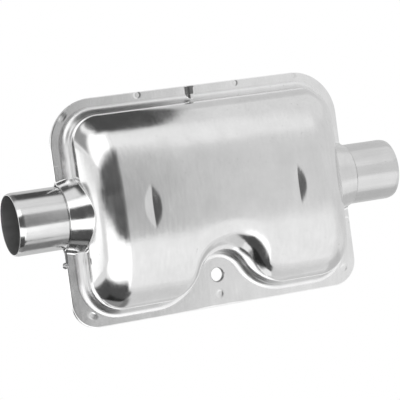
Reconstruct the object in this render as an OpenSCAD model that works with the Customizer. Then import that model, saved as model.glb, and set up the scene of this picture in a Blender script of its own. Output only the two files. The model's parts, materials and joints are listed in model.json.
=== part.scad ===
// In-line exhaust muffler for a small diesel air heater, pressed from stainless sheet.
// Two pressed half shells are spot welded flange to flange round two 24 mm pipes.
// Millimetres. X runs along the pipes, Z is up, and the front shell bulges towards -Y.
// The origin is the centre of the bolt hole, on the plane where the two flanges meet.

/* [Sheet] */
// Thickness of the pressed sheet
sheet_t = 1.0; // [0.6:0.1:1.2]
// Radius where the pan turns up out of the flange, on the outside
root_r = 2.5; // [1.5:0.1:3]

/* [Chamber] */
// Length of the pan over its end walls
chamber_l = 106.4; // [98:0.1:132]
// Height of the pan above the pipe axis
chamber_up = 37.3; // [34:0.1:42.5]
// Height of the pan below the pipe axis
chamber_down = 37.8; // [35.5:0.1:42.5]
// Depth of each pan from the parting plane to its crown
pan_depth = 21; // [19:0.1:26]
// Plan radius of the two top corners
corner_up_r = 11.3; // [9:0.1:13]
// Plan radius of the two bottom corners
corner_down_r = 12.5; // [9:0.1:13]
// Length over which each end rounds from its wall to the crown
end_round_l = 13.2; // [13:0.1:17]
// Fullness of the crown, from 2 for an ellipse to 3 for a box with round edges
crown_power = 2.4; // [2:0.1:3]

/* [Bolt recess] */
// Radius of the recess that the pan makes round the bolt hole
recess_r = 11.6; // [10.7:0.1:13.2]
// Distance of the recess centre below the bolt hole
recess_drop = 2; // [1:0.1:4]
// Radius of the two shoulders that lead into the recess
shoulder_r = 18.8; // [15.5:0.1:21.5]
// Distance over which the wall of the recess rounds into the crown
recess_ease = 14; // [11:0.5:15]
// Diameter of the bolt hole through both flanges
bolt_d = 5.5; // [4:0.1:6.5]
// Height of the pipe axis above the bolt hole
axis_up = 31; // [30:0.1:33]

/* [Flange] */
// Width of the flange beyond the end walls
flange_side_w = 7.45; // [6.5:0.05:11]
// Width of the flange above the pan
flange_up_w = 6.1; // [5.2:0.1:9]
// Width of the flange below the pan
flange_down_w = 5.6; // [5.1:0.1:9]
// Radius of the two top corners of the flange
flange_up_r = 18; // [14:0.1:20]
// Radius of the two bottom corners of the flange
flange_down_r = 9.8; // [6:0.1:14]

/* [Welds] */
// Diameter of the dimple that each spot weld leaves
weld_d = 2.6; // [2:0.1:3]
// Depth of each weld dimple
weld_sink = 0.2; // [0.1:0.05:0.3]
// Distance of the weld centres from the nearest flange edge
weld_edge = 1.2; // [0.9:0.1:2]

/* [Condensate channel] */
// Inside radius of the half channel that is pressed across the top flange
drain_r = 0.8; // [0.5:0.1:1.5]
// Distance of the channel from the middle of the muffler
drain_x = -1.5; // [-12:0.1:12]
// Radius where the channel turns up out of the flange
drain_root_r = 0.6; // [0.4:0.1:1]

/* [Pipes] */
// Outside diameter of each pipe, which takes a 24 mm hose
pipe_d = 24; // [20:0.1:25]
// Wall of each pipe
pipe_wall = 0.8; // [0.6:0.1:1.5]
// Length of pipe that stands out beyond the flange
spigot_l = 19.6; // [15:0.1:30]
// Length of pipe that stands inside the chamber
pipe_inside_l = 5; // [3:0.1:9]
// How much smaller the pipe's radius is where the collars hold it
neck_sink = 0.2; // [0.2:0.05:0.3]
// Radial clearance between that neck and the collars
collar_fit = 0.2; // [0.05:0.05:0.3]
// Gap between the end of a collar and the full diameter of the pipe
neck_gap = 0.3; // [0.1:0.1:1]
// Radius where each collar turns into the flange
collar_root_r = 1.5; // [1:0.1:2]
// Wall of each collar at its free end, where it is pressed thin
collar_lip_t = 0.5; // [0.4:0.05:0.9]
// How much wider each collar is at the end wall than at its free end
collar_flare = 1.9; // [1.2:0.1:2.1]

/* [Baffles] */
// Distance of each baffle from the middle of the muffler
baffle_x = 30.5; // [29:0.1:33]
// Length of the turned rim of each baffle
baffle_rim_l = 8; // [7:0.1:10]
// Clearance between a baffle and the shells
baffle_fit = 0.3; // [0.2:0.05:0.5]
// Diameter of the holes in each baffle
baffle_hole_d = 4; // [3:0.1:5]
// Distance between neighbouring holes in a baffle
baffle_pitch = 8; // [7:0.1:10]
// Depth of the groove that is pressed through shell and rim to hold a baffle
stake_sink = 0.75; // [0.5:0.05:0.8]
// Half width of that groove
stake_half_w = 3; // [2:0.1:3.2]
// Length of that groove across the crown
stake_l = 14; // [10:0.1:16]

/* [Hidden] */
$fn = 64;
steel = [0.80, 0.80, 0.79];
pipe_steel = [0.72, 0.72, 0.71];
inner_steel = [0.62, 0.62, 0.61];
// Places in the plane of the flange, as x and z
end_x = chamber_l / 2;
top_z = axis_up + chamber_up;
bottom_z = axis_up - chamber_down;
flange_x = end_x + flange_side_w;
flange_top = top_z + flange_up_w;
flange_bottom = bottom_z - flange_down_w;
core_x = end_x - end_round_l;
recess_z = -recess_drop;
shoulder_z = bottom_z + shoulder_r;
shoulder_x = sqrt(pow(shoulder_r + recess_r, 2) - pow(shoulder_z - recess_z, 2));
shoulder_a = atan2(shoulder_z - recess_z, shoulder_x);
// The wall proper starts at this depth, above the root radius
wall_d = sheet_t + root_r;
pipe_r = pipe_d / 2;
neck_r = pipe_r - neck_sink;
collar_r = neck_r + collar_fit;
neck_l = pipe_inside_l + flange_side_w + neck_gap;
// Each collar runs on past the end wall until it ends within the curved sheet of the pan
collar_in_x = end_x - 3.5;
collar_in_r = collar_out(collar_in_x) - sheet_t;
// From here inwards the inside of a collar widens too
collar_widen_x = flange_x - (sheet_t - collar_lip_t) * flange_side_w / collar_flare;
pipe_inner_x = end_x - pipe_inside_l;
pipe_mouth_x = flange_x + spigot_l;
mouth_round = pipe_wall * 0.3;
// How softly the wall of the recess rounds into the crown
recess_soft = 0.12;
// Rings that make the skins of a pan: a quarter turn of root, then the wall and crown
root_steps = 4;
crown_turns = [10, 20, 30, 40, 50, 60, 70, 80, 86];
section_turns = concat([0], crown_turns);
corner_steps = 8;
side_steps = 10;
shoulder_steps = 6;
recess_steps = 10;
// Radius of the pressing wheel whose rim leaves a lens of the stated length and depth
wheel_r = (stake_l * stake_l / 4 + stake_sink * stake_sink) / (2 * stake_sink);
wheel_rim = 3;

// Points on an arc round c, from angle a0 to a1 in n steps, without the first and last where open
function arc(c, r, a0, a1, n, open = 0) = [
    for (i = [open:n - open]) let (a = a0 + (a1 - a0) * i / n) c + r * [cos(a), sin(a)]
];

// Points up an end wall of the pan at x, between its two corners
function side_points(x, z0, z1) = [for (i = [1:side_steps - 1]) [x, z0 + (z1 - z0) * i / side_steps]];

// Plan outline of the pan, moved inwards by k: four corners, two ends, two shoulders and the recess
function outline(k) = concat(
    arc([end_x - corner_down_r, bottom_z + corner_down_r], corner_down_r - k, 270, 360, corner_steps),
    side_points(end_x - k, bottom_z + corner_down_r, top_z - corner_up_r),
    arc([end_x - corner_up_r, top_z - corner_up_r], corner_up_r - k, 0, 90, corner_steps),
    arc([corner_up_r - end_x, top_z - corner_up_r], corner_up_r - k, 90, 180, corner_steps),
    side_points(k - end_x, top_z - corner_up_r, bottom_z + corner_down_r),
    arc([corner_down_r - end_x, bottom_z + corner_down_r], corner_down_r - k, 180, 270, corner_steps),
    arc([-shoulder_x, shoulder_z], shoulder_r - k, 270, 360 - shoulder_a, shoulder_steps),
    arc([0, recess_z], recess_r + k, 180 - shoulder_a, shoulder_a, recess_steps, open = 1),
    arc([shoulder_x, shoulder_z], shoulder_r - k, 180 + shoulder_a, 270, shoulder_steps)
);

// The core line lies on the pipe axis, and each outline point draws towards its nearest point
function core(p) = [max(-core_x, min(core_x, p[0])), axis_up];

// Share of the way left to the core, across the pipes, and share of the height gained, at turn a.
// Along the pipes the share is cos(a), which rounds the ends like a circle.
function reach(a) = pow(cos(a), 2 / crown_power);
function rise(a) = pow(sin(a), 2 / crown_power);

// Depth of the wall and crown at turn a, on the skin that lies k under the outside
function crown_d(k, a) = wall_d + (pan_depth - k - wall_d) * rise(a);

// How near a plan point is to the recess: 1 on its wall and 0 at recess_ease from it
function near_recess(x, z, k) = let (
    u = abs(x),
    away = z - recess_z > tan(shoulder_a) * u ? norm([u, z - recess_z]) - recess_r
        : u < shoulder_x ? shoulder_r - norm([shoulder_x - u, z - shoulder_z])
        : z - bottom_z
) max(0, min(1, (recess_ease - away) / (recess_ease - k)));

// Share of the depth gained at a plan point under the axis, where chamber and recess meet softly
function lower_rise(x, z, k) = let (
    down = (axis_up - z) / (chamber_down - k),
    near = near_recess(x, z, k),
    bend = max(0, min(1, 2 - 2 * abs(x) / shoulder_x)),
    soft = recess_soft * 4 * near * (1 - near) * bend,
    most = max(0, min(1, (down + near + norm([down - near, soft])) / 2))
) pow(1 - pow(most, crown_power), 1 / crown_power);

// The n for which (u / n)^2 + (v / n)^crown_power = 1, by halving the span from lo to hi
function end_norm(u, v, lo = 0.2, hi = 2.5, left = 20) = let (n = (lo + hi) / 2)
    left == 0 ? n
    : pow(u / n, 2) + pow(v / n, crown_power) > 1 ? end_norm(u, v, n, hi, left - 1)
    : end_norm(u, v, lo, n, left - 1);

// Where outline point p has gone at turn a, on the skin that lies k under the outside. In the ends
// the level lines turn by and by from the plan outline into ovals.
function crown_point(p, k, a) = let (
    c = core(p),
    q = p - c,
    across = abs(q[0]) / (end_round_l - k),
    up = abs(q[1]) / ((q[1] > 0 ? chamber_up : chamber_down) - k),
    full = cos(a) * cos(a),
    in_end = across > 0.000001,
    mix = in_end ? full + (1 - full) / end_norm(across, up) : 1,
    x = c[0] + cos(a) * mix * q[0],
    z = c[1] + reach(a) * mix * q[1],
    gain = in_end || q[1] > 0 ? rise(a) : lower_rise(x, z, k)
) [x, z, wall_d + (pan_depth - k - wall_d) * gain];

// A ring of the root radius at turn a, on the skin that lies k under the outside
function root_ring(k, a) = [
    for (p = outline((root_r + k) * sin(a) - root_r)) [p[0], p[1], wall_d - (root_r + k) * cos(a)]
];

// A ring of the wall and crown at turn a, on the skin that lies k under the outside
function crown_ring(k, a) = [for (p = outline(k)) crown_point(p, k, a)];

function rings(k) = concat(
    [for (i = [0:root_steps]) root_ring(k, 90 * i / root_steps)],
    [for (a = crown_turns) crown_ring(k, a)]
);

// Two triangles for each step of the band between rings i and i + 1, from point number b on
function band(b, n, flip) = [
    for (j = [0:n - 1], second = [0, 1]) let (
        l = (j + 1) % n,
        t = second == 0 ? [b + j, b + l, b + n + l] : [b + j, b + n + l, b + n + j]
    ) flip ? t : [t[2], t[1], t[0]]
];

// The bulged wall of a half shell, between its outer and inner skins
module pan() {
    outer = rings(0);
    inner = rings(sheet_t);
    n = len(outer[0]);
    m = len(outer);
    centres = [for (r = [outer[m - 1], inner[m - 1]]) [0, axis_up, r[0][2]]];
    points = concat([for (r = concat(outer, inner)) each r], centres);
    faces = concat(
        [for (i = [0:m - 2]) each band(i * n, n, false)],
        [for (i = [0:m - 2]) each band((m + i) * n, n, true)],
        [for (j = [0:n - 1]) [(m - 1) * n + (j + 1) % n, (m - 1) * n + j, 2 * m * n]],
        [for (j = [0:n - 1]) [(2 * m - 1) * n + j, (2 * m - 1) * n + (j + 1) % n, 2 * m * n + 1]],
        [for (j = [0:n - 1]) each [
            [j, (j + 1) % n, m * n + (j + 1) % n],
            [j, m * n + (j + 1) % n, m * n + j]
        ]]
    );
    polyhedron(points = points, faces = faces, convexity = 6);
}

// Centres of the spot welds round the flange
weld_points = [
    [6.05 - flange_x, flange_top - 5.9],
    [-0.385 * flange_x, flange_top - weld_edge],
    [0.295 * flange_x, flange_top - weld_edge],
    [0.717 * flange_x, flange_top - weld_edge],
    [-flange_x - 0.4, axis_up - 18.2],
    [flange_x - weld_edge, axis_up - 18.2],
    [7.45 - flange_x, flange_bottom + 4.8],
    [flange_x - 5.45, flange_bottom + 6.4],
    [0, (flange_bottom - bolt_d / 2) / 2]
];

// Each weld spreads the sheet a little where it lies on the edge
module weld_discs(r) {
    for (p = weld_points) translate(p) circle(r = r);
}

module flange_outline() {
    side = flange_x - flange_down_r;
    shoulder = flange_x - flange_up_r;
    translate([-side, flange_bottom]) square([2 * side, flange_top - flange_bottom - flange_up_r]);
    translate([-shoulder, flange_bottom + flange_down_r])
        square([2 * shoulder, flange_top - flange_bottom - flange_down_r]);
    translate([-flange_x, flange_bottom + flange_down_r])
        square([2 * flange_x, flange_top - flange_bottom - flange_down_r - flange_up_r]);
    for (s = [-1, 1]) {
        translate([s * side, flange_bottom + flange_down_r]) circle(r = flange_down_r);
        translate([s * shoulder, flange_top - flange_up_r]) circle(r = flange_up_r);
    }
}

// The flat flange round the pan, with the weld dimples sunk into its outer face
module flange() {
    linear_extrude(sheet_t - weld_sink) difference() {
        union() {
            flange_outline();
            weld_discs(weld_d / 2);
        }
        polygon(outline(-root_r));
    }
    translate([0, 0, sheet_t - weld_sink]) linear_extrude(weld_sink) difference() {
        flange_outline();
        weld_discs(weld_d / 2);
        polygon(outline(-root_r));
    }
}

// Half a round channel of radius r that turns into the flange with radius f, the arc's centre h up
module channel_section(r, f, h) {
    side = sqrt(pow(r + f, 2) - h * h);
    meet = h * r / (r + f);
    intersection() {
        circle(r = r);
        translate([-r, 0]) square([2 * r, r]);
    }
    difference() {
        translate([-side, 0]) square([2 * side, meet]);
        for (s = [-1, 1]) translate([s * side, h]) circle(r = f);
    }
}

// Points round half a channel like that, from the middle of its foot at depth b
function channel_points(r, f, h, b) = let (side = sqrt(pow(r + f, 2) - h * h), a = asin(h / (r + f)))
    concat(
        [[0, b], [side, b]],
        arc([side, h], f, 270, 180 + a, 4),
        arc([0, 0], r, a, 180 - a, 24, open = 1),
        arc([-side, h], f, -a, -90, 4),
        [[-side, b]]
    );

// Outside radius of a collar at x, which widens evenly from its free end
function collar_out(x) = collar_r + collar_lip_t + collar_flare * (flange_x - x) / flange_side_w;

// The outside of the collar at the +x end
module collar() {
    ends = [
        for (x = [flange_x, collar_in_x]) [
            for (p = channel_points(collar_out(x), collar_root_r, sheet_t + collar_root_r, 0))
                [x, axis_up + p[0], p[1]]
        ]
    ];
    n = len(ends[0]);
    faces = concat(
        band(0, n, true),
        [for (j = [1:n - 2]) each [[0, j + 1, j], [n, n + j, n + j + 1]]]
    );
    polyhedron(points = concat(ends[0], ends[1]), faces = faces, convexity = 4);
}

// The inside of that collar where it widens, and the opening in the end wall
module collar_widening() {
    x0 = core_x + sheet_t;
    translate([0, axis_up, 0]) rotate([0, 90, 0]) rotate_extrude($fn = 96) polygon([
        [0, x0], [collar_in_r, x0], [collar_in_r, collar_in_x], [collar_r, collar_widen_x],
        [0, collar_widen_x]
    ]);
}

// Turns a section in the plane of y and depth into a bar along x, from x0 to x1
module along_x(x0, x1) {
    translate([x0, axis_up, 0]) rotate([90, 0, 90]) linear_extrude(x1 - x0) children();
}

// Turns a section in the plane of x and depth into a bar along y, from y0 to y1
module along_y(y0, y1) {
    translate([drain_x, y1, 0]) rotate([90, 0, 0]) linear_extrude(y1 - y0) children();
}

// The rim of a pressing wheel, which touches the crown at depth d and sinks below it
module stake_wheel(x, d) {
    slope = stake_half_w / stake_sink;
    translate([x, axis_up, d - stake_sink + wheel_r]) rotate([0, 90, 0]) rotate_extrude($fn = 180)
        polygon([
            [wheel_r, 0],
            [wheel_r - wheel_rim / 2, slope * wheel_rim / 2],
            [wheel_r - wheel_rim, slope * wheel_rim / 2],
            [wheel_r - wheel_rim, -slope * wheel_rim / 2],
            [wheel_r - wheel_rim / 2, -slope * wheel_rim / 2]
        ]);
}

// The ridge that the wheel raises on the far side of the sheet, d being the depth of its outer face
module stake_ridge(x, d) {
    intersection() {
        stake_wheel(x, d - sheet_t);
        translate([x - stake_half_w - 1, axis_up - stake_l / 2 - 1, d - 2 * sheet_t])
            cube([2 * stake_half_w + 2, stake_l + 2, 1.3 * sheet_t]);
    }
}

// One half shell, drawn with the flange in the xy plane and the crown up
module half_shell() {
    collar_h = sheet_t + collar_root_r;
    drain_h = sheet_t + drain_root_r;
    difference() {
        union() {
            flange();
            pan();
            for (s = [-1, 1]) {
                mirror([s < 0 ? 1 : 0, 0, 0]) collar();
                stake_ridge(s * baffle_x, pan_depth);
            }
            along_y(top_z - sheet_t / 2, flange_top)
                channel_section(drain_r + sheet_t, drain_root_r, drain_h);
        }
        for (s = [-1, 1]) {
            along_x(s > 0 ? core_x + sheet_t : -flange_x - 1, s > 0 ? flange_x + 1 : -core_x - sheet_t)
                channel_section(collar_r, collar_root_r + sheet_t, collar_h);
            mirror([s < 0 ? 1 : 0, 0, 0]) collar_widening();
            stake_wheel(s * baffle_x, pan_depth);
        }
        along_y(top_z - 2 * sheet_t, flange_top + 1)
            channel_section(drain_r, drain_root_r + sheet_t, drain_h);
        translate([0, 0, -1]) cylinder(d = bolt_d, h = sheet_t + 2);
    }
}

module front_shell() {
    color(steel) rotate([90, 0, 0]) half_shell();
}

module rear_shell() {
    color(steel) mirror([0, 1, 0]) rotate([90, 0, 0]) half_shell();
}

// A tube along +x with its rims broken and a neck where the collars hold it
module pipe() {
    a = pipe_r - pipe_wall;
    c = mouth_round;
    l = pipe_mouth_x - pipe_inner_x;
    translate([pipe_inner_x, 0, axis_up]) rotate([0, 90, 0]) rotate_extrude($fn = 96) polygon([
        [a, c], [a + c, 0], [neck_r - c, 0], [neck_r, c], [neck_r, neck_l], [pipe_r, neck_l],
        [pipe_r, l - c], [pipe_r - c, l], [a + c, l], [a, l - c]
    ]);
}

module inlet_pipe() {
    color(pipe_steel) mirror([1, 0, 0]) pipe();
}

module outlet_pipe() {
    color(pipe_steel) pipe();
}

// Section across both pans, k under their outside, as height from the pipe axis and depth
function half_section(k, side) = concat(
    [for (a = section_turns) [reach(a) * (chamber_up - k), side * crown_d(k, a)]],
    [for (i = [len(section_turns) - 1:-1:0]) let (a = section_turns[i])
        [-reach(a) * (chamber_down - k), side * crown_d(k, a)]]
);

module pan_section(k) {
    front = half_section(k, 1);
    rear = half_section(k, -1);
    polygon(concat(front, [for (i = [len(rear) - 1:-1:0]) rear[i]]));
}

// A pressed plate with a turned rim, staked between the shells, and rows of round holes
module baffle(side) {
    k = sheet_t + baffle_fit;
    d = pan_depth - k;
    plate_x = baffle_x + baffle_rim_l / 2 - sheet_t;
    rows = 3;
    columns = 1;
    mirror([side < 0 ? 1 : 0, 0, 0]) rotate([90, 0, 0]) difference() {
        union() {
            along_x(plate_x, plate_x + sheet_t) pan_section(k);
            along_x(baffle_x - baffle_rim_l / 2, plate_x) difference() {
                pan_section(k);
                pan_section(k + sheet_t);
            }
            for (m = [0, 1]) mirror([0, 0, m]) stake_ridge(baffle_x, d);
        }
        for (m = [0, 1]) mirror([0, 0, m]) stake_wheel(baffle_x, d);
        for (i = [-rows:rows], j = [-columns:columns])
            translate([plate_x - 1, axis_up + i * baffle_pitch, j * baffle_pitch])
                rotate([0, 90, 0]) cylinder(d = baffle_hole_d, h = sheet_t + 2);
    }
}

module inlet_baffle() {
    color(inner_steel) baffle(-1);
}

module outlet_baffle() {
    color(inner_steel) baffle(1);
}

front_shell();
rear_shell();
inlet_pipe();
outlet_pipe();
inlet_baffle();
outlet_baffle();
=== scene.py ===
"""Diesel heater muffler of pressed stainless sheet: smooth half shells, two turned tubes, studio.

Lengths are written in millimetres and turned into metres when a mesh is made. Plan points lie in
the plane of the flange, as x along the pipes and z up, and depth runs out of that plane.
"""

import json

import bmesh
import bpy
import numpy as np
from mathutils import Matrix, Vector


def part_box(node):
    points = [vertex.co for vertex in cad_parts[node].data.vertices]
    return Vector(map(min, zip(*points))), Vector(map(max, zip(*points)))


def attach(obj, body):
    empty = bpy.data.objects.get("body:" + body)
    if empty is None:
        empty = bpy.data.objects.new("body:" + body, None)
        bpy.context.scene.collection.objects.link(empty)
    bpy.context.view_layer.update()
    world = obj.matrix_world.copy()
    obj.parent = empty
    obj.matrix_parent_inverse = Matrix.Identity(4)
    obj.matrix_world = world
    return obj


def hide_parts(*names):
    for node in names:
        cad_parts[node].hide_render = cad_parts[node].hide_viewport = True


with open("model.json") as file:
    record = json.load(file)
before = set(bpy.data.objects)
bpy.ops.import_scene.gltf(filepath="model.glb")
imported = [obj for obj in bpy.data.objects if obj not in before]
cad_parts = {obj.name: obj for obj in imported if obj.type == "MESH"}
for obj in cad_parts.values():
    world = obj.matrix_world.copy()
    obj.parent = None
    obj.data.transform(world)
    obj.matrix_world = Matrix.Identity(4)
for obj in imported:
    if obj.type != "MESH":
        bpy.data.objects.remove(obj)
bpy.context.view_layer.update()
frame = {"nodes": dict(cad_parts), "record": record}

MM = 0.001
MOUNTS = {m["name"]: m for m in frame["record"]["mounts"]}
PIPE_LOW, PIPE_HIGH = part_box("outlet_pipe")

# Sheet, and the pan of one half shell
SHEET_T = 1.0
ROOT_R = 3.2
CHAMBER_L = 108.4
CHAMBER_UP = 37.0
CHAMBER_DOWN = 37.8
PAN_DEPTH = -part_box("front_shell")[0].y / MM
CORNER_UP_R = 11.3
CORNER_DOWN_R = 12.5
END_ROUND_L = 13.2
CROWN_POWER = 2.4

# Recess round the bolt hole
RECESS_R = 11.6
RECESS_Z = -2.0
SHOULDER_R = 18.8
RECESS_EASE = 14.0
RECESS_SOFT = 0.12
BOLT_R = MOUNTS["mounting_hole"]["dims"]["r_mm"]
AXIS_UP = MOUNTS["inlet_spigot"]["pos_m"][2] / MM

# Flange
FLANGE_SIDE_W = 6.45
FLANGE_UP_W = 6.4
FLANGE_DOWN_W = 5.6
FLANGE_UP_R = 18.0
FLANGE_DOWN_R = 9.8
EDGE_ROUND = 0.25

# Collars round the pipes and the condensate channel, as outside radii and root radii
COLLAR_R = 12.5
COLLAR_FLARE = 1.65
COLLAR_BORE_R = 12.0
COLLAR_ROOT_R = 1.5
DRAIN_R = 1.8
DRAIN_ROOT_R = 0.6
DRAIN_X = -1.5
CREASE_L = 0.3

# Grooves that hold the baffles
BAFFLE_X = 30.5
STAKE_SINK = 0.55
STAKE_HALF_W = 3.2
STAKE_L = 14.0

# Pipes
PIPE_R = MOUNTS["inlet_spigot"]["dims"]["r_mm"]
PIPE_WALL = 0.8
LIP_L = 1.6
LIP_DROP = 0.35
NECK_SINK = 0.2
NECK_GAP = 0.3
PIPE_INNER_X = PIPE_LOW.x / MM
PIPE_MOUTH_X = PIPE_HIGH.x / MM
BORE_FACES_R = PIPE_R - PIPE_WALL + 0.02

# Places worked out from these
END_X = CHAMBER_L / 2
TOP_Z = AXIS_UP + CHAMBER_UP
BOTTOM_Z = AXIS_UP - CHAMBER_DOWN
FLANGE_X = END_X + FLANGE_SIDE_W
FLANGE_TOP = TOP_Z + FLANGE_UP_W
FLANGE_BOTTOM = BOTTOM_Z - FLANGE_DOWN_W
CORE_X = END_X - END_ROUND_L
SHOULDER_Z = BOTTOM_Z + SHOULDER_R
SHOULDER_X = np.sqrt((SHOULDER_R + RECESS_R) ** 2 - (SHOULDER_Z - RECESS_Z) ** 2)
SHOULDER_A = np.arctan2(SHOULDER_Z - RECESS_Z, SHOULDER_X)
WALL_D = SHEET_T + ROOT_R
SIDE_WELD_DOWN = 18.2
WELDS = [
    (-FLANGE_X + 6.05, FLANGE_TOP - 5.9),
    (-0.385 * FLANGE_X, FLANGE_TOP - 1.2),
    (0.295 * FLANGE_X, FLANGE_TOP - 1.2),
    (0.717 * FLANGE_X, FLANGE_TOP - 1.2),
    (FLANGE_X - 1.2, AXIS_UP - SIDE_WELD_DOWN),
    (-FLANGE_X + 7.45, FLANGE_BOTTOM + 4.8),
    (FLANGE_X - 5.45, FLANGE_BOTTOM + 6.4),
    (0.0, (FLANGE_BOTTOM - BOLT_R) / 2),
]
WELD_R = 1.3

# Drop of weld metal on the left edge: plan point, how far back, and radius in plan and in depth
NUB = (-FLANGE_X - 0.45, AXIS_UP - SIDE_WELD_DOWN)
NUB_BACK = 0.8
NUB_R = WELD_R * 0.93
NUB_DEPTH_R = 1.15

# Marks: heat of a weld, full and then fading, painted shade in the mouth of the channel, and a dark
# line on the left edge, under the collar
HEAT_FULL_R = 0.66
HEAT_FADE = 1.1
CHANNEL_SHADE_L = 3.4
CHANNEL_SHADE_HALF_W = 1.9
CHANNEL_SHADE_TAPER = 0.12
EDGE_DARK_W = 0.7
EDGE_DARK_DOWN = 15.0
EDGE_DARK_HALF_L = 2.4

# Mesh: spacing of the columns, steps round a corner, and steps of the skins over each half of the
# flange, the crease, the root radius and the crown; then of the pipes, and the angle of sharp edges
LINE_STEP = 1.1
SIDE_STEP = 0.9
CORNER_STEPS = 37
OUTER_STEPS = (20, 4, 9, 46)
INNER_STEPS = (1, 2, 4, 22)
LATHE_STEPS = 160
SHARP_DEGREES = 40

# Camera of the photograph, in metres, degrees and millimetres of film
CAMERA_PLACE = (-0.27399, -0.63734, 0.05931)
CAMERA_TARGET = (-0.0027, 0.0, 0.0297)
CAMERA_ROLL = 7.64
CAMERA_LENS = 160.3
CAMERA_FILM = 36

# Floor, in metres
FLOOR_HALF = 6
FLOOR_Z = -2.1

# The tent that the sheet mirrors. Panels: name, stations, level, soft edges and radius. Cards: name,
# corner, size, height, level, soft edges, and True for a gauze. See tent_panel and tent_card
PANELS = [
    ("tent_right", [(8, -75, 80), (185, -75, 80)], 0.80, (14, 14, 14), 2.0),
    ("tent_right_low", [(5, -58, -8), (50, -58, -8), (75, -50, -15)], 0.96, (14, 20, 8), 1.95),
    ("tent_right_high", [(5, 20, 54), (42, 20, 54)], 0.96, (14, 14, 8), 1.95),
    ("tent_right_middle", [(10, -14, 26), (60, -14, 26), (140, -30, 40)], 0.735, (10, 10, 10), 1.9),
    ("tent_far_right", [(92, -60, 78), (185, -60, 78)], 0.66, (18, 10, 10), 1.97),
    ("tent_floor", [(-30, -90, -58), (185, -90, -58)], 0.70, (14, 10, 0.5, 8), 1.98),
    ("tent_side", [(-185, -32, 14), (-62, -32, 14)], 0.85, (6, 8, 6), 2.0),
    ("tent_back", [(-185, 12, 53), (-62, 12, 53)], 0.34, (6, 14, 10), 1.95),
    ("tent_back_strip", [(-185, -16, 7), (-150, -12, 5), (-76, -9, 1.5)], 1.3, (4, 6, 3), 1.9),
    ("tent_ceiling", [(-185, 58, 90), (20, 58, 90)], 0.34, (6, 10, 6, 0.5), 1.95),
    ("tent_edge", [(-4, -15, 34), (25, -15, 34)], 0.46, (3, 7, 5), 1.85),
    ("tent_edge_dark", [(-4, -16, 34), (16.5, -16, 34)], 0.20, (3, 1.3, 5, 10), 1.7),
    ("tent_edge_low", [(10, -16, 0), (17.9, -16, 0)], 0.24, (3, 1, 5, 2), 1.75),
    ("tent_upper_box", [(-66, 3, 55), (3, 3, 55)], 1.5, (16, 8, 8), 1.8),
    (
        "tent_lower_box",
        [(-68, -18, -1), (-45, -40, -1), (-36, -45, -1), (6, -45, -1), (12, -55, -1),
         (19.5, -55, -1)],
        1.5, (10, 5, 5), 1.8,
    ),
    (
        "tent_opening",
        [(-78, -1.5, 2), (-60, -4, 8), (-40, -7, 19), (-20, -12, 30), (-10, -14, 33),
         (0, -15, 34), (14, -15, 33)],
        0.09, (4, 10, 4, 8), 1.6,
    ),
    (
        "tent_floor_gap",
        [(-170, -26, -8), (-150, -38, -12), (-120, -60, -20), (-90, -88, -25), (-70, -88, -25),
         (-45, -88, -36), (-30, -88, -41), (3, -88, -43), (12, -84, -57), (36, -78, -58)],
        0.08, (5, 6, 5), 1.6,
    ),
]
CARDS = [
    ("card_above", (-0.11, -0.092), (0.144, 0.212), 0.161, 0.08, (0.05, 0.012, 0.022)),
    ("card_above_inlet", (-0.086, -0.0205), (0.0305, 0.015), 0.05, 0.85, (0.002, 0.001, 0.004)),
    ("gauze_under_inlet", (-0.11, -0.035), (0.095, 0.085), -0.08, 0.3, (0.015, 0.015, 0.015), True),
    ("card_under_outlet", (0.08, -0.04), (0.12, 0.15), -0.08, 0.58, (0.02, 0.02, 0.02)),
]


def graded(lo, hi, step, spots=()):
    """Samples from lo to hi, step apart, closer near each spot (centre, half width, spacing)."""
    x = np.linspace(lo, hi, 6001)
    density = np.full_like(x, 1 / step)
    for centre, half, fine in spots:
        near = np.clip((half + 1 - np.abs(x - centre)), 0, 1)
        density = np.maximum(density, 1 / step + (1 / fine - 1 / step) * near)
    total = np.concatenate([[0], np.cumsum((density[1:] + density[:-1]) / 2 * np.diff(x))])
    return np.interp(np.linspace(0, total[-1], int(np.ceil(total[-1])) + 1), total, x)


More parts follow.
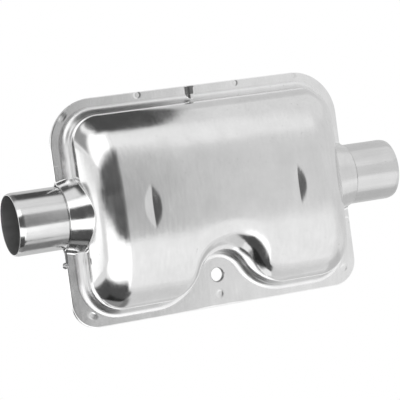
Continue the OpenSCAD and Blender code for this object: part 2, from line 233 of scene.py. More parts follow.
class Columns:
    """The columns of a half shell: where each starts on the pan's outline, in order round it.

    A column of the top or bottom keeps its x, one of an end keeps its z, and one of a corner has a
    share g of the way round it. Each runs from the flange's edge inwards and up to the crown.
    """

    TOP, BOTTOM, SIDE, UPPER, LOWER = range(5)

    def __init__(self):
        """Columns all round, closer at grooves, channel, welds, bolt hole and collars."""
        hole = BOLT_R * np.cos(np.radians(np.arange(0, 181, 6)))
        spots = [(s * BAFFLE_X, STAKE_HALF_W + 0.4, 0.3) for s in (-1, 1)]
        spots += [(DRAIN_X, 2.6, 0.28)] + [(x, WELD_R, 0.24) for x, z in WELDS if abs(x) < CORE_X]
        line = graded(-CORE_X, CORE_X, LINE_STEP, spots)
        for s in (-1, 1):
            line[np.abs(line - s * BAFFLE_X).argmin()] = s * BAFFLE_X
        line = np.concatenate([line[np.abs(line) > BOLT_R + 0.1], hole])
        line = np.sort(line)[::-1]
        rise = CHAMBER_DOWN - CORNER_DOWN_R
        spots = [(s * (COLLAR_R + 1.4), 2.0, 0.16) for s in (-1, 1)]
        spots += [(-SIDE_WELD_DOWN, WELD_R, 0.24)]
        side = AXIS_UP + graded(-rise, CHAMBER_UP - CORNER_UP_R, SIDE_STEP, spots)[::-1]
        corner = np.linspace(0, 1, CORNER_STEPS + 1)[1:-1]
        parts = [
            (self.TOP, 0, line),
            (self.UPPER, -1, corner),
            (self.SIDE, -1, side),
            (self.LOWER, -1, corner[::-1]),
            (self.BOTTOM, 0, line[::-1]),
            (self.LOWER, 1, corner),
            (self.SIDE, 1, side[::-1]),
            (self.UPPER, 1, corner[::-1]),
        ]
        self.zone = np.concatenate([np.full(len(w), zone) for zone, hand, w in parts])
        self.hand = np.concatenate([np.full(len(w), hand) for zone, hand, w in parts])
        self.w = np.concatenate([w for zone, hand, w in parts])

    def corner_point(self, g, upper, offset):
        """Point at share g of a corner: a short straight, then an arc, its radius less offset."""
        r = CORNER_UP_R if upper else CORNER_DOWN_R
        straight = END_ROUND_L - r
        share = straight / (straight + r * np.pi / 2)
        turn = np.clip((g - share) / (1 - share), 0, 1) * np.pi / 2
        x = CORE_X + np.clip(g / share, 0, 1) * straight + (r - offset) * np.sin(turn)
        z = (r - offset) * np.cos(turn)
        return x, TOP_Z - r + z if upper else BOTTOM_Z + r - z

    def outline(self, offset):
        """Plan point of every column where the outline is moved inwards by offset."""
        offset = np.asarray(offset, float)
        shape = (len(self.w),) + (1,) * (offset.ndim - 1)
        w, zone, hand = (v.reshape(shape) for v in (self.w, self.zone, self.hand))
        ux, uz = self.corner_point(w, True, offset)
        lx, lz = self.corner_point(w, False, offset)
        zones = [zone == z for z in range(5)]
        x = np.select(zones, [w, w, hand * (END_X - offset), hand * ux, hand * lx])
        z = np.select(zones, [TOP_Z - offset, bottom_line(w, offset), w, uz, lz])
        return x, z


def bottom_line(x, offset):
    """Height of the pan's lower outline at x: recess arc, then shoulder arc, then straight."""
    x = np.abs(x)
    recess = RECESS_Z + np.sqrt(np.maximum((RECESS_R + offset) ** 2 - x**2, 0))
    away = SHOULDER_X - x
    shoulder = SHOULDER_Z - np.sqrt(np.maximum((SHOULDER_R - offset) ** 2 - away**2, 0))
    in_recess = x < (RECESS_R + offset) * np.cos(SHOULDER_A)
    return np.select([in_recess, x < SHOULDER_X], [recess, shoulder], BOTTOM_Z + offset)


def recess_share(x, z, k):
    """How near a plan point is to the recess: 1 on its wall, falling to 0 RECESS_EASE from it."""
    x = np.abs(x)
    from_recess = np.hypot(x, z - RECESS_Z) - RECESS_R
    from_shoulder = SHOULDER_R - np.hypot(SHOULDER_X - x, z - SHOULDER_Z)
    above = z - RECESS_Z > np.tan(SHOULDER_A) * x
    away = np.select([above, x < SHOULDER_X], [from_recess, from_shoulder], z - BOTTOM_Z)
    return np.clip((RECESS_EASE - away) / (RECESS_EASE - k), 0, 1)


def turn_of(tau):
    """Turn of the crown at share tau of the way up it, with even steps at both ends."""
    return np.pi / 2 * (1 - (1 - np.clip(tau, 0, 1) ** 1.2) ** 1.2)


def end_norm(across, up):
    """The n for which (across / n)^2 + (up / n)^CROWN_POWER = 1, by bisection."""
    lo = np.full(np.broadcast(across, up).shape, 0.2)
    hi = np.full_like(lo, 2.5)
    for _ in range(30):
        n = (lo + hi) / 2
        over = (across / n) ** 2 + (up / n) ** CROWN_POWER > 1
        lo, hi = np.where(over, n, lo), np.where(over, hi, n)
    return (lo + hi) / 2


def stake_depth(x, z):
    """Depth of the two grooves: a V across x, a wheel's arc along z, and a little rounded."""
    wheel_r = (STAKE_L**2 / 4 + STAKE_SINK**2) / (2 * STAKE_SINK)
    across = np.sqrt((np.abs(x) - BAFFLE_X) ** 2 + 0.06**2) - 0.06
    sink = STAKE_SINK * (1 - across / STAKE_HALF_W) - (z - AXIS_UP) ** 2 / (2 * wheel_r)
    return (sink + np.sqrt(sink**2 + 0.02**2)) / 2


def pan(columns, q, k):
    """Point of the pan at q: 0 to 1 is the root radius, a quarter turn, and 1 to 2 the crown.

    On the crown at turn a, a point of the outline has gone to cos(a) of its way from the core
    line along x and cos(a)^(2/p) of it along z, and has risen by sin(a)^(2/p). Near the recess
    it sinks as at the lower outline, and the grooves lie under it. k is the depth of the skin.
    """
    root_turn = np.clip(q, 0, 1) * np.pi / 2
    offset = np.where(q < 1, (ROOT_R + k) * np.sin(root_turn) - ROOT_R, k)
    px, pz = columns.outline(offset)
    root_d = WALL_D - (ROOT_R + k) * np.cos(root_turn)
    a = turn_of(q - 1)
    reach = np.cos(a) ** (2 / CROWN_POWER)
    rise = np.sin(a) ** (2 / CROWN_POWER)
    core = np.clip(px, -CORE_X, CORE_X)
    across = np.maximum(np.abs(px) - CORE_X, 0) / (END_ROUND_L - k)
    up = np.abs(pz - AXIS_UP) / (np.where(pz > AXIS_UP, CHAMBER_UP, CHAMBER_DOWN) - k)
    full = np.cos(a) ** 2
    mix = np.where(across > 1e-9, full + (1 - full) / end_norm(across, up), 1)
    x = core + (px - core) * np.where(q < 1, 1, np.cos(a) * mix)
    z = AXIS_UP + (pz - AXIS_UP) * np.where(q < 1, 1, reach * mix)
    lower = (columns.zone == columns.BOTTOM).reshape((len(columns.w),) + (1,) * (np.ndim(x) - 1))
    down = np.clip((AXIS_UP - z) / (CHAMBER_DOWN - k), 0, 1)
    near = recess_share(x, z, k)
    bend = np.clip(2 - 2 * np.abs(x) / SHOULDER_X, 0, 1)
    soft = RECESS_SOFT * 4 * near * (1 - near) * bend
    most = np.clip((down + near + np.sqrt((down - near) ** 2 + soft**2)) / 2, 0, 1)
    rise = np.where(lower, (1 - most**CROWN_POWER) ** (1 / CROWN_POWER), rise)
    d = np.where(q < 1, root_d, WALL_D + (PAN_DEPTH - k - WALL_D) * rise - stake_depth(x, z))
    return x, z, d


def channel_height(across, r, f, h):
    """Height of half a round channel of radius r with root radius f, whose centre is h up."""
    across = np.abs(across)
    side = np.sqrt((r + f) ** 2 - h**2)
    round_top = np.sqrt(np.maximum(r**2 - across**2, 0))
    root = h - np.sqrt(np.maximum(f**2 - (side - across) ** 2, 0))
    return np.select([across < side * r / (r + f), across < side], [round_top, root], h - f)


def land_height(columns, x, z, k):
    """Height of what lies outside the pan: flange, collars at the ends, and the channel on top."""
    inwards = np.clip((FLANGE_X - np.abs(x)) / FLANGE_SIDE_W, 0, 1.5)
    collar_r = np.maximum(COLLAR_R + COLLAR_FLARE * inwards - k, COLLAR_BORE_R)
    collar = channel_height(z - AXIS_UP, collar_r, COLLAR_ROOT_R + k, SHEET_T + COLLAR_ROOT_R)
    drain = channel_height(x - DRAIN_X, DRAIN_R - k, DRAIN_ROOT_R + k, SHEET_T + DRAIN_ROOT_R)
    shape = (len(columns.w),) + (1,) * (np.ndim(x) - 1)
    zone = columns.zone.reshape(shape)
    return np.select([zone == columns.SIDE, zone == columns.TOP], [collar, drain], SHEET_T - k)


def crossing(columns, k):
    """The q at which each column of the pan comes out of the flange, collar or channel."""
    lo, hi = np.zeros(len(columns.w)), np.full(len(columns.w), 1.9)
    for _ in range(45):
        q = (lo + hi) / 2
        x, z, d = pan(columns, q, k)
        under = d < land_height(columns, x, z, k)
        lo, hi = np.where(under, q, lo), np.where(under, hi, q)
    return np.where(hi < 1e-6, 0, hi)


def flange_edge(columns, x, z):
    """Plan point of the flange's edge for each column, and the direction straight out from it."""
    side, lower = columns.zone == columns.SIDE, columns.zone == columns.LOWER
    upper = columns.zone == columns.UPPER

    def corner_path(r, near, far_z):
        """Edge from x = CORE_X round the corner to the height where the end columns start."""
        turn = np.linspace(0, np.pi / 2, 400)
        px = np.concatenate([[CORE_X], FLANGE_X - r + r * np.sin(turn), [FLANGE_X]])
        pz = np.concatenate([[0], r - r * np.cos(turn), [max(near, r)]])
        keep = pz <= near
        px, pz = np.append(px[keep], np.interp(near, pz, px)), np.append(pz[keep], near)
        length = np.concatenate([[0], np.cumsum(np.hypot(np.diff(px), np.diff(pz)))])
        g = columns.w * length[-1]
        return np.interp(g, length, px), far_z + np.interp(g, length, pz) * np.sign(AXIS_UP - far_z)

    ux, uz = corner_path(FLANGE_UP_R, FLANGE_UP_W + CORNER_UP_R, FLANGE_TOP)
    lx, lz = corner_path(FLANGE_DOWN_R, FLANGE_DOWN_W + CORNER_DOWN_R, FLANGE_BOTTOM)
    top_turn = np.clip(z - (FLANGE_TOP - FLANGE_UP_R), 0, None)
    top_turn = np.minimum(top_turn, FLANGE_UP_R)
    edge_x = FLANGE_X - FLANGE_UP_R + np.sqrt(FLANGE_UP_R**2 - top_turn**2)
    zones = [side, upper, lower, columns.zone == columns.TOP]
    ex = np.select(zones, [columns.hand * edge_x, columns.hand * ux, columns.hand * lx, x], x)
    ez = np.select(zones, [z, uz, lz, FLANGE_TOP + 0 * z], FLANGE_BOTTOM)
    tx = np.roll(ex, -1) - np.roll(ex, 1)
    tz = np.roll(ez, -1) - np.roll(ez, 1)
    size = np.hypot(tx, tz)
    return ex, ez, tz / size, -tx / size


def weld_relief(x, z):
    """Depth of the spot welds: a shallow round dish, deepest on a soft ring near its rim."""
    away = np.min([np.hypot(x - wx, z - wz) for wx, wz in WELDS], axis=0)
    return 0.07 * np.exp(-(away / 0.9) ** 4) + 0.06 * np.exp(-((away - 1.0) / 0.3) ** 2)


def slit_height(x, low, high):
    """Heights of both lips of the slit that opens into the bolt hole, and drifts to mid-flange."""
    mid = (low + high) / 2
    drift = np.clip((np.abs(x) - BOLT_R) / 8, 0, 1)
    drift = drift**2 * (3 - 2 * drift)
    lip = np.sqrt(np.maximum(BOLT_R**2 - x**2, 0))
    return mid * drift - lip, mid * drift + lip


def skin(columns, k, counts):
    """One skin of a half shell as columns by rows of points, and the number of its slit row.

    Rows run over the flange to the bolt hole's slit, on to the crease, over it on a quadratic
    curve, and up the pan to the core line. counts has the steps over each half of the flange,
    the crease, the root radius and the crown.
    """
    q0 = crossing(columns, k)
    cx, cz, cd = pan(columns, q0, k)
    step = 1e-4
    nx, nz, nd = pan(columns, q0 + step, k)
    speed = np.sqrt((nx - cx) ** 2 + (nz - cz) ** 2 + (nd - cd) ** 2) / step
    q1 = q0 + np.minimum(CREASE_L / speed, 0.2)
    ex, ez, ox, oz = flange_edge(columns, cx, cz)
    inset = EDGE_ROUND if k == 0 else EDGE_ROUND / 2
    gx, gz = ex - inset * ox, ez - inset * oz
    along = np.hypot(gx - cx, gz - cz)
    ax, az = (c + (g - c) * CREASE_L / along for c, g in ((cx, gx), (cz, gz)))
    bottom = columns.zone == columns.BOTTOM
    lip_low, lip_high = slit_height(cx, gz, az)
    mx, mz = (gx + ax) / 2, (gz + az) / 2
    lows = (np.where(bottom, cx, mx), np.where(bottom, lip_low, mz))
    highs = (np.where(bottom, cx, mx), np.where(bottom, lip_high, mz))
    share = np.linspace(0, 1, counts[0] + 1)
    blend = lambda a, b, s: a[:, None] + (b - a)[:, None] * s
    fx = np.hstack([blend(gx, lows[0], share), blend(highs[0], ax, share)])
    fz = np.hstack([blend(gz, lows[1], share), blend(highs[1], az, share)])
    fd = land_height(columns, fx, fz, k)
    if k == 0:
        fd = fd - weld_relief(fx, fz)
    px, pz, pd = pan(columns, q1, k)
    s = np.linspace(0, 1, counts[1] + 1)[1:-1]
    curve = lambda a, b, c: (
        a[:, None] * (1 - s) ** 2 + b[:, None] * 2 * s * (1 - s) + c[:, None] * s**2
    )
    root = np.linspace(0, 0.48, counts[2] + 1)[:-1]
    crown = np.linspace(0.48, 1, counts[3] + 1)
    share = np.linspace(0, 0.15, len(root) + len(crown))
    q = np.maximum(2 * np.concatenate([root, crown]), q1[:, None] + (2 - q1)[:, None] * share)
    ux, uz, ud = pan(columns, q, k)
    rows = [
        np.hstack([fx, curve(ax, cx, px), ux]),
        np.hstack([fz, curve(az, cz, pz), uz]),
        np.hstack([fd, curve(land_height(columns, ax, az, k), cd, pd), ud]),
    ]
    return np.stack(rows, axis=2), counts[0], (ex, ez, ox, oz)


def grid_faces(n, m, start=0, skip=()):
    """Quads of a grid of n columns, in a closed ring, by m rows, without the rows in skip."""
    i, j = np.meshgrid(np.arange(n), [r for r in range(m - 1) if r not in skip], indexing="ij")
    l = (i + 1) % n
    quads = np.stack([i * m + j, l * m + j, l * m + j + 1, i * m + j + 1], axis=2)
    return start + quads.reshape(-1, 4)


def shell_mesh(name, hand):
    """A half shell as one closed sheet: outer skin, inner skin, and rims at the edge and the hole.

    Its points carry four marks for the material: heat round the welds; darkening, which is the
    sheared rim's own dark finish and painted shade at the bolt hole, painted shade in the channel's
    mouth, and a dark line on the left edge; flat on the flange; and root on the root radius.
    """
    columns = Columns()
    n = len(columns.w)
    outer, slit, edge = skin(columns, 0, OUTER_STEPS)
    inner, inner_slit, _ = skin(columns, SHEET_T, INNER_STEPS)
    ex, ez, ox, oz = edge
    i0, o0 = inner[:, 0], outer[:, 0]
    rim = []
    for depth_share, inset in ((0.12, 0.0), (0.75, 0.0), (0.93, 0.08)):
        at = i0 + (o0 - i0) * depth_share
        at[:, 0] = ex - inset * ox
        at[:, 1] = ez - inset * oz
        rim.append(at)
    rim = np.stack([i0] + rim, axis=1)
    outer = np.concatenate([rim, outer], axis=1)
    slit += rim.shape[1]
    m, mi = outer.shape[1], inner.shape[1]
    faces = [grid_faces(n, m, 0, (slit,)), grid_faces(n, mi, n * m, (inner_slit,))[:, ::-1]]
    hole = np.where((columns.zone == columns.BOTTOM) & (np.abs(columns.w) < BOLT_R + 1e-6))[0]
    a, b = hole[:-1], hole[1:]
    for row, inner_row, turn in ((slit, inner_slit, -1), (slit + 1, inner_slit + 1, 1)):
        low = n * m + inner_row
        quads = np.stack([a * m + row, b * m + row, low + b * mi, low + a * mi], axis=1)
        faces.append(quads[:, ::turn])
    points = np.concatenate([outer.reshape(-1, 3), inner.reshape(-1, 3)])
    verts = np.stack([points[:, 0], -hand * points[:, 2], points[:, 1]], axis=1) * MM
    faces = np.concatenate(faces)
    if hand < 0:
        faces = faces[:, ::-1]
    x, z, depth = points.T
    away = np.min([np.hypot(x - wx, z - wz) for wx, wz in WELDS], axis=0)
    heat = np.clip(1 + (HEAT_FULL_R - away) / HEAT_FADE, 0, 1) * (depth < 2)
    # The bolt hole's rim: partly the sheared edge's own darker finish, partly painted shade on the
    # hole's wall
    bolt_rim = (np.hypot(x, z) < BOLT_R + 0.03) & (depth < 2)
    # Painted shade on the channel near its mouth, where it opens at the flange's top edge
    channel_shade = np.abs(x - DRAIN_X) < CHANNEL_SHADE_HALF_W - CHANNEL_SHADE_TAPER * (FLANGE_TOP - z)
    channel_shade &= (z > FLANGE_TOP - CHANNEL_SHADE_L) & (z < FLANGE_TOP - EDGE_ROUND)
    # A dark line on the left edge, just under the collar
    darkening = (x < -FLANGE_X + EDGE_DARK_W) & (np.abs(z - AXIS_UP + EDGE_DARK_DOWN) < EDGE_DARK_HALF_L)
    # One darkening mark, the last two on the front shell only: dark metal and painted shade at the
    # bolt hole, painted shade in the channel's mouth, and the dark line on the left edge
    dark_metal_and_painted_shade = np.maximum(bolt_rim, (channel_shade | darkening) * (hand > 0))
    flat = np.clip((1.5 - depth) / 0.4, 0, 1)
    root = np.zeros((n, m))
    root[:, -1 - OUTER_STEPS[2] - OUTER_STEPS[3] : 2 - OUTER_STEPS[3]] = 1
    root = np.concatenate([root.ravel(), np.zeros(n * mi)])
    marks = {"heat": heat, "dark_metal_and_painted_shade": dark_metal_and_painted_shade.astype(float), "flat": flat, "root": root}
    return make_piece(name, verts, faces, marks)


def make_piece(name, verts, faces, marks=None):
    """A shaded mesh object of these points and quads, with what coincides merged.

    marks holds values for each point, which are kept as attributes of the mesh under their names.
    """
    mesh = bpy.data.meshes.new(name)
    mesh.vertices.add(len(verts))
    mesh.vertices.foreach_set("co", verts.astype(np.float32).ravel())
    mesh.loops.add(faces.size)
    mesh.loops.foreach_set("vertex_index", faces.astype(np.int32).ravel())
    mesh.polygons.add(len(faces))
    starts = np.arange(0, faces.size, faces.shape[1], dtype=np.int32)
    mesh.polygons.foreach_set("loop_start", starts)
    mesh.update(calc_edges=True)
    for key, values in (marks or {}).items():
        mark = mesh.attributes.new(key, "FLOAT", "POINT")
        mark.data.foreach_set("value", values.astype(np.float32))
    bm = bmesh.new()
    bm.from_mesh(mesh)
    bmesh.ops.remove_doubles(bm, verts=bm.verts, dist=2e-8)
    bm.to_mesh(mesh)
    bm.free()
    mesh.shade_smooth()
    mesh.set_sharp_from_angle(angle=np.radians(SHARP_DEGREES))
    piece = bpy.data.objects.new(name, mesh)
    bpy.context.scene.collection.objects.link(piece)
    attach(piece, "root")
    return piece


def lathe(name, profile, hand):
    """A closed profile of (x, radius) points turned once round the pipe axis."""
    steps = LATHE_STEPS
    turn = np.arange(steps) * 2 * np.pi / steps
    x, r = np.array(profile, float).T
    n = len(profile)
    verts = np.stack([
        np.repeat(hand * x[None, :], steps, axis=0),
        r[None, :] * np.sin(turn)[:, None],
        AXIS_UP + r[None, :] * np.cos(turn)[:, None],
    ], axis=2).reshape(-1, 3) * MM
    i, j = np.meshgrid(np.arange(steps), np.arange(n), indexing="ij")
    quads = np.stack([
        i * n + j, (i + 1) % steps * n + j, (i + 1) % steps * n + (j + 1) % n, i * n + (j + 1) % n,
    ], axis=2).reshape(-1, 4)
    if hand > 0:
        quads = quads[:, ::-1]
    return make_piece(name, verts, quads)


def weld_nub(name):
    """Drop of weld metal on the flange's left edge, as rings of points from pole to pole.

    It is a ball whose radius in plan swells and shrinks by 3 % in three lobes that wind round it.
    """
    n, m = 30, 21
    up = np.radians(np.linspace(-90, 90, m))[:, None]
    turn = np.radians(np.arange(0, 360, 360 // n))[None, :]
    size = 1 + 0.03 * np.cos(3 * turn + 2 * up) * np.cos(up)
    verts = np.stack(np.broadcast_arrays(
        NUB[0] + NUB_R * size * np.cos(up) * np.cos(turn),
        -NUB_BACK + NUB_DEPTH_R * np.sin(up),
        NUB[1] + NUB_R * size * np.cos(up) * np.sin(turn),
    ), axis=2).reshape(-1, 3) * MM
    j, i = np.meshgrid(np.arange(m - 1), np.arange(n), indexing="ij")
    l = (i + 1) % n
    quads = np.stack([j * n + i, (j + 1) * n + i, (j + 1) * n + l, j * n + l], axis=2)
    marks = {"heat": 0.7, "dark_metal_and_painted_shade": 0.45, "flat": 0, "root": 0}
    marks = {key: np.full(len(verts), value) for key, value in marks.items()}
    return make_piece(name, verts, quads.reshape(-1, 4), marks)


def pipe_profile():
    """Section of a pipe: bore, rounded mouth, full outside, shoulder, and neck in the collars."""
    mouth = np.radians(np.linspace(0, 180, 13))
    half = (PIPE_WALL - LIP_DROP) / 2
    middle = PIPE_R - PIPE_WALL + half
    start = PIPE_MOUTH_X - half * 0.75
    lip = [(start + half * 0.75 * np.sin(t), middle - half * np.cos(t)) for t in mouth]
    bevel = [
        (start - l, PIPE_R - LIP_DROP * (1 - l / LIP_L) ** 1.3) for l in np.linspace(0, LIP_L, 9)
    ]
    neck_x = FLANGE_X + NECK_GAP
    neck_r = PIPE_R - NECK_SINK
    bore = PIPE_R - PIPE_WALL
    bore_x = np.linspace(PIPE_INNER_X, start, 24)[:-1]
    outside_x = np.linspace(start - LIP_L, neck_x + 0.2, 24)[1:]
    neck = [(x, neck_r) for x in np.linspace(neck_x, PIPE_INNER_X, 12)]
    return [(x, bore) for x in bore_x] + lip + bevel[1:] + [(x, PIPE_R) for x in outside_x] + neck


def steel(name, colour, roughness, brushed, marks=False, metal=1.0):
    """Bright stainless: cloudy tone, faint brushing, shallow waves, specks, work marks, painted
    shade.

    brushed gives the scale of the brushing along x, y and z, per metre: low along the grain.
    Where marks is on, the mesh's attributes darken the welds by their heat, darken the bolt hole's
    rim, the weld drop and a line on the left edge, and paint shade into the bolt hole and the
    channel's mouth; flat makes the flange a little lighter, and root makes the root radius rougher.
    """
    material = bpy.data.materials.new(name)
    material.use_nodes = True
    nodes, links = material.node_tree.nodes, material.node_tree.links
    shader = nodes["Principled BSDF"]
    shader.inputs["Metallic"].default_value = metal
    place = nodes.new("ShaderNodeTexCoord").outputs["Object"]

    def noise(scale, detail=2.0, stretch=(1, 1, 1)):
        """Noise in the object's own coordinates, of this scale per metre."""
        mapping = nodes.new("ShaderNodeMapping")
        mapping.inputs["Scale"].default_value = stretch
        links.new(place, mapping.inputs["Vector"])
        node = nodes.new("ShaderNodeTexNoise")
        node.inputs["Scale"].default_value = scale
        node.inputs["Detail"].default_value = detail
        links.new(mapping.outputs[0], node.inputs["Vector"])
        return node.outputs["Fac"]

    def spread(value, low, high, to_low, to_high):
        """Map a value from one range to another, and hold it inside."""
        node = nodes.new("ShaderNodeMapRange")
        ends = {"From Min": low, "From Max": high, "To Min": to_low, "To Max": to_high}
        for key, v in ends.items():
            node.inputs[key].default_value = v
        links.new(value, node.inputs["Value"])
        return node.outputs[0]

    def math(kind, first, second):
        """Add, subtract or multiply two sockets or numbers."""
        node = nodes.new("ShaderNodeMath")
        node.operation = kind
        for k, v in enumerate((first, second)):
            if isinstance(v, (int, float)):
                node.inputs[k].default_value = v
            else:
                links.new(v, node.inputs[k])
        return node.outputs[0]

    grain = noise(1.0, 3.0, brushed)
    specks = spread(noise(1100, 1.0), 0.74, 0.82, 0, 1)
    clouds = spread(noise(110, 3.0), 0.3, 0.7, 0.965, 1.03)
    tone = math("MULTIPLY", clouds, spread(grain, 0.3, 0.7, 0.97, 1.02))
    tone = math("MULTIPLY", tone, math("SUBTRACT", 1, math("MULTIPLY", specks, 0.25)))
    rough = math("ADD", spread(noise(170, 4.0), 0.3, 0.7, roughness - 0.03, roughness + 0.05),
                 spread(grain, 0.3, 0.7, -0.02, 0.03))
    if marks:
        mark = {}
        for key in ("heat", "dark_metal_and_painted_shade", "flat", "root"):
            node = nodes.new("ShaderNodeAttribute")
            node.attribute_name = key
            mark[key] = node.outputs["Fac"]
        tone = math("MULTIPLY", tone, math("ADD", 1, math("MULTIPLY", mark["flat"], 0.15)))
        darkening = math("MULTIPLY", mark["heat"], spread(noise(900, 2.0), 0.35, 0.65, 0.25, 0.85))
        # Darkening: heat round the welds, dark metal, and painted shade in the bolt hole and the
        # channel's mouth
        dark = math("ADD", darkening, math("MULTIPLY", mark["dark_metal_and_painted_shade"], 0.75))
        tone = math("MULTIPLY", tone, math("SUBTRACT", 1, dark))
        rough = math("ADD", rough, math("MULTIPLY", mark["dark_metal_and_painted_shade"], 0.25))
        rough = math("ADD", rough, math("MULTIPLY", mark["root"], 0.18))
    tint = nodes.new("ShaderNodeMix")
    tint.data_type = "RGBA"
    tint.blend_type = "MULTIPLY"
    tint.inputs["Factor"].default_value = 1
    tint.inputs["A"].default_value = (*colour, 1)
    links.new(tone, tint.inputs["B"])
    links.new(tint.outputs["Result"], shader.inputs["Base Color"])
    links.new(rough, shader.inputs["Roughness"])
    height = None
    for value, depth in ((noise(70, 1.0), 9e-5), (noise(420, 3.0), 1.1e-5), (grain, 2.6e-6)):
        bump = nodes.new("ShaderNodeBump")
        bump.inputs["Distance"].default_value = depth
        links.new(value, bump.inputs["Height"])
        if height:
            links.new(height, bump.inputs["Normal"])
        height = bump.outputs["Normal"]
    links.new(height, shader.inputs["Normal"])
    return material


def build():
    """The smooth pieces in place of the CAD nodes, with their materials."""
    pressed = steel("pressed_steel", (0.82, 0.82, 0.82), 0.13, (900, 900, 130), marks=True)
    tube = steel("tube_steel", (0.75, 0.75, 0.75), 0.15, (50, 1500, 1500))
    # Dark base colour of the bores: painted shade inside the pipes; rougher and less metallic too
    bore = steel("painted_shade_bore_steel", (0.24, 0.24, 0.24), 0.42, (60, 600, 600), metal=0.6)
    inner = steel("inner_steel", (0.60, 0.60, 0.60), 0.35, (200, 700, 700))
    for name, hand in (("front_shell", 1), ("rear_shell", -1)):
        piece = shell_mesh(name + "_sheet", hand)
        piece.data.materials.append(pressed)
        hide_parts(name)
    nub = weld_nub("left_weld_nub")
    nub.data.materials.append(pressed)
    for name, hand in (("inlet_pipe", -1), ("outlet_pipe", 1)):
        piece = lathe(name + "_tube", pipe_profile(), hand)
        piece.data.materials.append(tube)
        piece.data.materials.append(bore)
        # Faces inside the bore get the material with painted shade
        centres = np.empty((len(piece.data.polygons), 3), np.float32)
        piece.data.polygons.foreach_get("center", centres.ravel())
        inside = np.hypot(centres[:, 1], centres[:, 2] - AXIS_UP * MM) < BORE_FACES_R * MM
        piece.data.polygons.foreach_set("material_index", inside.astype(np.int32))
        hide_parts(name)
    for name in ("inlet_baffle", "outlet_baffle"):
        node = frame["nodes"][name]
        node.data.materials.clear()
        node.data.materials.append(inner)


def place_camera():
    """Camera of the photograph: place, direction, roll and lens."""
    place = Vector(CAMERA_PLACE)
    roll = np.radians(CAMERA_ROLL)
    back = (place - Vector(CAMERA_TARGET)).normalized()
    right = Vector((0, 0, 1)).cross(back).normalized()
    up = back.cross(right)
    r2 = right * np.cos(roll) - up * np.sin(roll)
    u2 = right * np.sin(roll) + up * np.cos(roll)
    camera = bpy.data.objects.new("camera", bpy.data.cameras.new("camera"))
    camera.data.lens = CAMERA_LENS
    camera.data.sensor_width = CAMERA_FILM
    camera.matrix_world = Matrix((
        (r2.x, u2.x, back.x, place.x),
        (r2.y, u2.y, back.y, place.y),
        (r2.z, u2.z, back.z, place.z),
        (0, 0, 0, 1),
    ))
    bpy.context.scene.collection.objects.link(camera)
    bpy.context.scene.camera = camera


def panel_material(name, level, gauze=False):
    """A sheet of even brightness that thins out where the cover attribute of its mesh falls to 0.

    A gauze gives no light, and lets through as much as its level of what is behind it.
    """
    material = bpy.data.materials.new(name)
    material.use_nodes = True
    nodes, links = material.node_tree.nodes, material.node_tree.links
    nodes.clear()
    cover = nodes.new("ShaderNodeAttribute")
    cover.attribute_name = "cover"
    clear = nodes.new("ShaderNodeBsdfTransparent")
    glow = nodes.new("ShaderNodeBsdfTransparent" if gauze else "ShaderNodeEmission")
    glow.inputs["Color"].default_value = (level, level, level, 1)
    mix = nodes.new("ShaderNodeMixShader")
    out = nodes.new("ShaderNodeOutputMaterial")
    links.new(cover.outputs["Fac"], mix.inputs["Fac"])
    links.new(clear.outputs[0], mix.inputs[1])
    links.new(glow.outputs[0], mix.inputs[2])
    links.new(mix.outputs[0], out.inputs["Surface"])
    return material


def panel(name, points, cover, level, gauze=False):
    """A curved sheet of the tent, from a grid of points and of how much each covers."""
    n, m = cover.shape
    i, j = np.meshgrid(np.arange(n - 1), np.arange(m - 1), indexing="ij")
    quads = np.stack([i * m + j, (i + 1) * m + j, (i + 1) * m + j + 1, i * m + j + 1], axis=2)
    mesh = bpy.data.meshes.new(name)
    mesh.from_pydata(points.reshape(-1, 3).tolist(), [], quads.reshape(-1, 4).tolist())
    mesh.attributes.new("cover", "FLOAT", "POINT").data.foreach_set("value", cover.ravel())
    mesh.materials.append(panel_material(name, level, gauze))
    piece = bpy.data.objects.new(name, mesh)
    piece.visible_camera = False
    piece.visible_shadow = False
    piece.visible_diffuse = False
    bpy.context.scene.collection.objects.link(piece)


def ease(x):
    """0 below 0, 1 above 1, and smooth between."""
    x = np.clip(x, 0, 1)
    return x * x * (3 - 2 * x)


def tent_panel(name, stations, level, soft, radius):
    """A panel of the tent between low and high elevations given at azimuths, all in degrees.

    Azimuth 0 is in front of the muffler and grows towards the outlet. soft has the widths of the
    edges: at the first station, at the last, along the low side, and along the high one, which
    may be left out where it is as the low one. The radius is in metres, about the pipes' middle.
    """
    az_at, low_at, high_at = np.array(stations, float).T
    az = np.linspace(az_at[0], az_at[-1], 90)
    low, high = np.interp(az, az_at, low_at), np.interp(az, az_at, high_at)
    share = np.linspace(0, 1, 60)
    el = low[:, None] + (high - low)[:, None] * share
    sides = np.minimum((az - az[0]) / soft[0], (az[-1] - az) / soft[1])[:, None]
    ends = np.minimum((el - low[:, None]) / soft[2], (high[:, None] - el) / soft[-1])
    cover = ease(sides) * ease(ends)
    a, e = np.radians(az)[:, None], np.radians(el)
    points = radius * np.stack([np.sin(a) * np.cos(e), -np.cos(a) * np.cos(e), np.sin(e)], axis=2)
    panel(name, points + (0, 0, AXIS_UP * MM), cover, level)


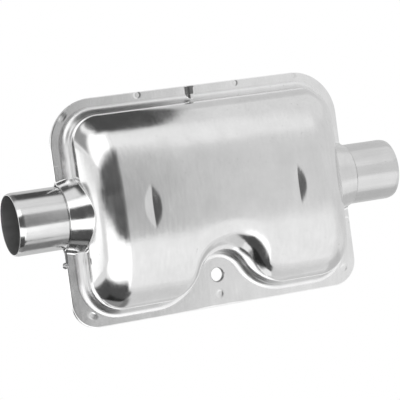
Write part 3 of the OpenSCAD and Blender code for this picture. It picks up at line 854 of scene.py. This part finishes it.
def tent_card(name, corner, size, height, level, soft, gauze=False):
    """A flat card above or under the muffler, from a corner in x and y, in metres.

    soft has the widths of its edges: towards the inlet, towards the outlet, at front and back.
    """
    x = np.linspace(0, size[0], 60)[:, None]
    y = np.linspace(0, size[1], 60)[None, :]
    sides = np.minimum(x / soft[0], (size[0] - x) / soft[1])
    cover = ease(sides) * ease(np.minimum(y, size[1] - y) / soft[2])
    points = np.stack(np.broadcast_arrays(corner[0] + x, corner[1] + y, height), axis=2)
    panel(name, points, cover, level, gauze)


def light():
    """A plain white world, and in front of it the tent that the sheet mirrors, with the floor."""
    world = bpy.data.worlds.new("world")
    world.use_nodes = True
    world.node_tree.nodes["Background"].inputs["Color"].default_value = (1, 1, 1, 1)
    world.node_tree.nodes["Background"].inputs["Strength"].default_value = 1
    bpy.context.scene.world = world
    bpy.context.scene.view_settings.view_transform = "Standard"
    for row in PANELS:
        tent_panel(*row)
    for row in CARDS:
        tent_card(*row)
    floor()


def floor():
    """A pale floor far under the muffler, which hangs in the middle of the tent."""
    mesh = bpy.data.meshes.new("floor")
    signs = ((-1, -1), (1, -1), (1, 1), (-1, 1))
    corners = [(x * FLOOR_HALF, y * FLOOR_HALF, FLOOR_Z) for x, y in signs]
    mesh.from_pydata(corners, [], [(0, 1, 2, 3)])
    material = bpy.data.materials.new("floor")
    material.use_nodes = True
    nodes, links = material.node_tree.nodes, material.node_tree.links
    shader = nodes["Principled BSDF"]
    shader.inputs["Base Color"].default_value = (0.9, 0.9, 0.9, 1)
    shader.inputs["Roughness"].default_value = 0.9
    path = nodes.new("ShaderNodeLightPath")
    seen = path.outputs["Is Camera Ray"]
    for ray in ("Is Glossy Ray", "Is Transmission Ray"):
        most = nodes.new("ShaderNodeMath")
        most.operation = "MAXIMUM"
        links.new(seen, most.inputs[0])
        links.new(path.outputs[ray], most.inputs[1])
        seen = most.outputs[0]
    white = nodes.new("ShaderNodeEmission")
    mix = nodes.new("ShaderNodeMixShader")
    links.new(seen, mix.inputs["Fac"])
    links.new(shader.outputs[0], mix.inputs[1])
    links.new(white.outputs[0], mix.inputs[2])
    links.new(mix.outputs[0], nodes["Material Output"].inputs["Surface"])
    mesh.materials.append(material)
    piece = bpy.data.objects.new("floor", mesh)
    bpy.context.scene.collection.objects.link(piece)


place_camera()
build()
light()
